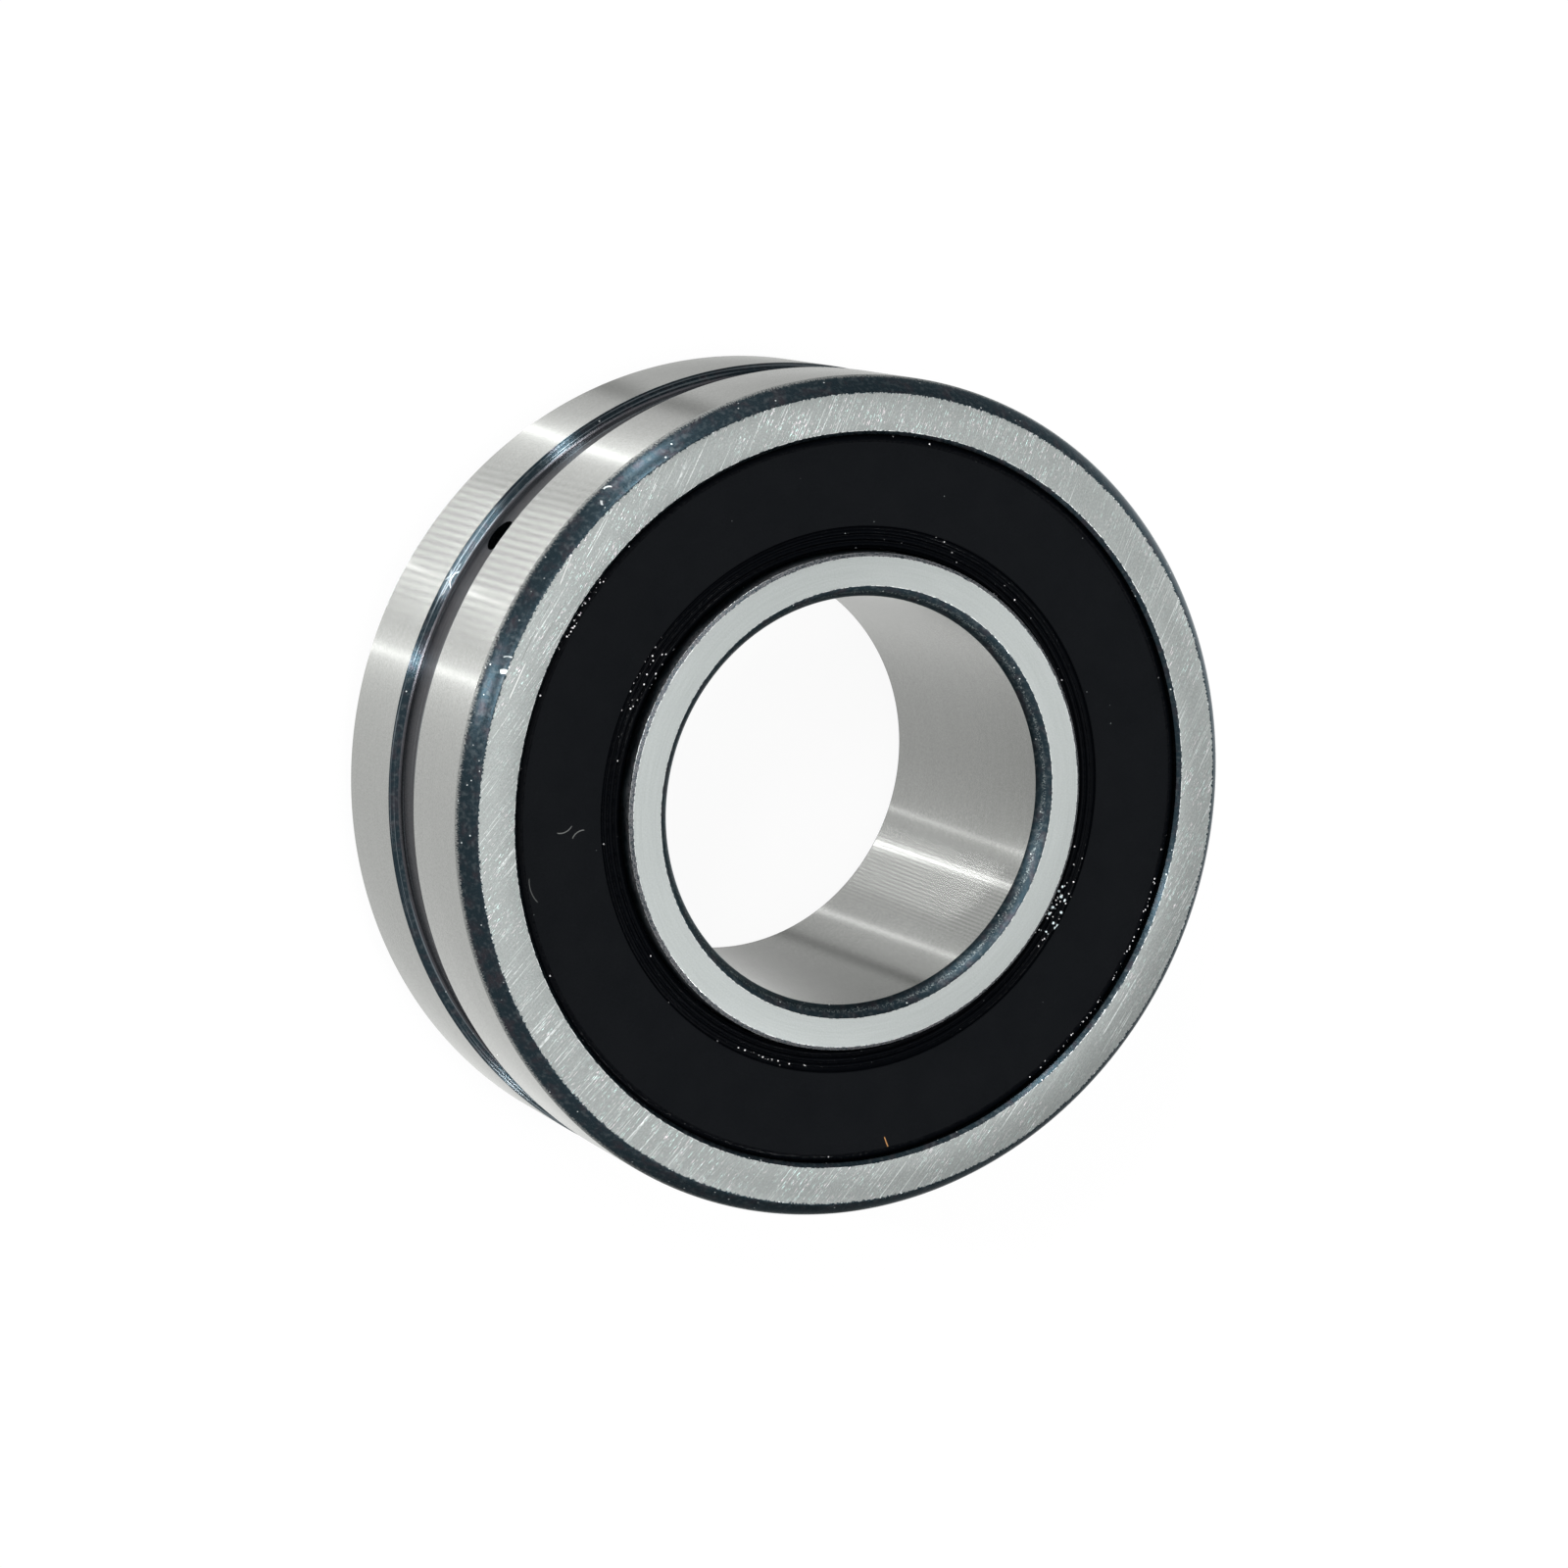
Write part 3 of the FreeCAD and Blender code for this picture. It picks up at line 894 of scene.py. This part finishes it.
def set_camera():
    """Camera at the photograph's angle."""
    across = Vector((math.cos(camera_azimuth), math.sin(camera_azimuth), 0))
    level = math.cos(camera_elevation)
    back = Vector((math.sin(camera_azimuth) * level, -math.cos(camera_azimuth) * level,
                   math.sin(camera_elevation)))
    above = back.cross(across)
    right = across * math.cos(camera_roll) + above * math.sin(camera_roll)
    up = back.cross(right)
    place = back * camera_distance - right * centre_right - up * centre_up
    bpy.ops.object.camera_add()
    camera = bpy.context.object
    turned_to = Matrix((right, up, back)).transposed().to_4x4()
    camera.matrix_world = Matrix.Translation(place) @ turned_to
    camera.data.sensor_width = sensor_width
    camera.data.lens = focal_length
    camera.data.clip_start = nearest_seen
    bpy.context.scene.camera = camera


# Studio, in metres and degrees. Brightness is radiance, and 1 is white
white = (1, 1, 1, 1)
bearing_middle = Vector((0, 0, 0))
floor_size = 8.0
floor_paint = (0.9, 0.9, 0.9, 1)
floor_glow = 0.93

# Tent of light round the bearing: sides by azimuth and reach, spots by azimuth, elevation and
# reach, and how much each adds or takes away
tent_scatter = 0.85
tent_low = 0.70
front_side = (-5.0, 65.0)
front_gain = 0.12
back_side = (210.0, 130.0)
back_gain = 0.6
dark_side = (-92.0, 40.0)
dark_side_loss = 0.5
dark_far = (160.0, 60.0)
dark_far_loss = 0.75
board_edge = (235.5, 20.1)
board_edge_reach = 0.036
board_edge_loss = 0.8
dark_above = (170.0, 51.0, 25.0)
dark_above_loss = 0.82
dark_limb = (-76.0, 49.0, 40.0)
dark_limb_loss = 0.85

# Lamps
outer_chamfer_lean = 36.0
bore_chamfer_lean = 53.0
flank_lean = 64.7
glint_distance = 0.6
glint_size = 0.02
glint_radiance = 300.0
glint_lamps = ((158, 50), (120, 45))


def lay_floor():
    """White floor that shows pure white and still keeps a trace of the bearing's shadow."""
    bpy.ops.object.select_all(action="DESELECT")
    bpy.ops.mesh.primitive_plane_add(size=floor_size, location=(0, 0, floor_z))
    floor = bpy.context.object
    floor.name = "floor"
    finish = Finish("floor_white")
    seen = seen_directly(finish)
    paint = finish.add("ShaderNodeBsdfDiffuse", None, {"Color": floor_paint})
    glow = finish.add("ShaderNodeEmission", None, {"Color": white, "Strength": 1.0})
    shader = finish.add("ShaderNodeMixShader", None, {0: seen * floor_glow, 1: paint, 2: glow})
    finish.add("ShaderNodeOutputMaterial", None, {"Surface": shader})
    wear(floor, [finish.material])
    floor.visible_glossy = False
    floor.visible_shadow = False


def seen_directly(finish):
    """1 for rays from the camera and those that metal or glass sends on."""
    rays = [finish.add("ShaderNodeLightPath", out=name)
            for name in ("Is Camera Ray", "Is Glossy Ray", "Is Transmission Ray")]
    return rays[0].worked("MAXIMUM", rays[0], rays[1].worked("MAXIMUM", rays[1], rays[2]))


def set_surroundings():
    """White to the camera. Metal and rubber see a tent that is brighter in front and behind
    than at its sides, which gives the ground steel its light and dark bands. Two darker sides,
    two dark spots and the edge of a dark board in it show on the steel."""
    world = bpy.data.worlds.new("studio")
    world.use_nodes = True
    bpy.context.scene.world = world
    tent = Recipe(world.node_tree)
    way = tent.add("ShaderNodeTexCoord", out="Generated")
    x, y, z = (tent.add("ShaderNodeSeparateXYZ", sockets={0: way}, out=axis)
               for axis in range(3))
    level = (x * x + y * y + 1e-6) ** 0.5
    bright = (tent.facing(x, y, level, *front_side) * front_gain
              + tent.facing(x, y, level, *back_side) * back_gain)
    side = tent.facing(x, y, level, *dark_side) * dark_side_loss
    slanting_down = tent.rise(z, -0.85, -0.65) * (1 - tent.rise(z, -0.1, 0.15))
    far = tent.facing(x, y, level, *dark_far) * slanting_down * dark_far_loss
    board = (tent.near(toward(x, y, z, *board_edge), 0.0, board_edge_reach)
             * (1 - tent.rise(z, -0.3, 0.0)) * board_edge_loss)
    low = (tent_low + bright) * (1 - side) * (1 - far) * (1 - board)
    above = tent.spot(x, y, z, *dark_above) * dark_above_loss
    limb = tent.spot(x, y, z, *dark_limb) * dark_limb_loss
    high = (1 - above) * (1 - limb)
    upward = tent.rise(z, 0.2, 0.7)
    seen = low * (1 - upward) + high * upward
    camera = tent.add("ShaderNodeLightPath", out="Is Camera Ray")
    scatter = tent.add("ShaderNodeLightPath", out="Is Diffuse Ray")
    plain = camera.worked("MAXIMUM", camera, scatter)
    strength = seen * (1 - plain) + camera + scatter * tent_scatter
    tent.add("ShaderNodeOutputWorld", None, {"Surface": tent.add(
        "ShaderNodeBackground", None, {"Color": white, "Strength": strength})})


def lamp(name, place, target, width, height, radiance):
    """Rectangular lamp of a given brightness, facing its target."""
    bpy.ops.object.light_add(type="AREA", location=place)
    light = bpy.context.object
    light.name = light.data.name = name
    light.data.shape = "RECTANGLE"
    light.data.size = width
    light.data.size_y = height
    light.data.energy = radiance * math.pi * width * height
    light.rotation_euler = (Vector(target) - Vector(place)).to_track_quat("-Z", "Y").to_euler()
    return light


def polar(r, azimuth, z):
    """A place given by its distance from the axis, azimuth and height."""
    return Vector((r * math.cos(azimuth), r * math.sin(azimuth), z))


def heading(azimuth, elevation):
    """The direction with an azimuth and an elevation in degrees."""
    rise = math.radians(elevation)
    return polar(math.cos(rise), math.radians(azimuth), math.sin(rise))


def toward(x, y, z, azimuth, elevation):
    """How far a direction points to an azimuth and elevation, from 1 straight to it to -1."""
    aim = heading(azimuth, elevation)
    return x * aim.x + y * aim.y + z * aim.z


def strip_lamp(name, spot, width, span, distance, radiance, lean=0, shift=0):
    """Strip lamp that a spot on the steel mirrors to the camera. Fine lines round the axis
    spread what they mirror along one arc, so the strip lies along it, shifted so many degrees
    up it. The spot is a radius (negative on a wall that faces the axis), the azimuth that its
    wall faces and a height; lean is how far the wall leans back, and width and span are the
    strip's size, in degrees."""
    spot_r, azimuth, height = spot
    level = heading(azimuth, 0)
    place = level * spot_r + Vector((0, 0, height))
    normal, above = heading(azimuth, lean), heading(azimuth, lean + 90)
    view = (bpy.context.scene.camera.location - place).normalized()
    mirrored = 2 * normal * normal.dot(view) - view
    along = (above.dot(view) * normal + normal.dot(view) * above).normalized()
    turn = math.radians(shift)
    out = mirrored * math.cos(turn) + along * math.sin(turn)
    along = along * math.cos(turn) - mirrored * math.sin(turn)
    light = lamp(name, place + out * distance, place, distance * math.radians(width),
                 distance * math.radians(span), radiance)
    axes = Matrix((along.cross(out), along, out)).transposed()
    light.rotation_euler = axes.to_euler()


def set_lamps():
    """Soft lamps above and beside, strip lamps that draw stripes on the ground steel and glows
    on the dark chamfers and the groove, and small lamps for the glints on the rubber. The lamps
    below the floor shine through it: it is there for the camera and for the shadow only."""
    chamfer_height = face_z - chamfer_z / 2
    lamp("overhead", polar(0.25, math.radians(194), 0.75), bearing_middle,
         width=0.25, height=0.25, radiance=1.5)
    lamp("side", polar(0.45, math.radians(226), 0.39), bearing_middle,
         width=0.2, height=0.2, radiance=1.5)
    for name, azimuth, width in (("left", 20.3, 0.7), ("right", -16.5, 1.0)):
        strip_lamp(f"stripe_{name}", (outer_r, azimuth, 0),
                   width=width, span=40, distance=0.5, radiance=1.8)
        strip_lamp(f"flank_{name}", (outer_r - groove_depth / 2, azimuth, -groove_half),
                   width=3, span=20, distance=0.6, radiance=36, lean=flank_lean, shift=-25)
        strip_lamp(f"chamfer_{name}", (outer_r - chamfer_r / 2, azimuth, chamfer_height),
                   width=2.5, span=16, distance=0.6, radiance=50, lean=outer_chamfer_lean)
    strip_lamp("stripe_middle", (outer_r, 9.6, 0),
               width=3, span=40, distance=0.5, radiance=0.25)
    strip_lamp("bore_stripe", (-bore_r, 9.7, 0),
               width=0.7, span=28, distance=0.09, radiance=6.5)
    strip_lamp("bore_window", (-bore_r, 4.0, 0),
               width=26, span=3, distance=0.6, radiance=12, shift=28.5)
    strip_lamp("bore_chamfer", (-bore_r, 4.0, chamfer_height),
               width=16, span=6, distance=0.6, radiance=24, lean=bore_chamfer_lean)
    for number, glint in enumerate(glint_lamps):
        lamp(f"glint_{number}", heading(*glint) * glint_distance, bearing_middle,
             width=glint_size, height=glint_size, radiance=glint_radiance)


build_rings()
finish_inner_pieces()
set_camera()
lay_floor()
set_surroundings()
set_lamps()

bpy.context.scene.view_settings.view_transform = "Standard"
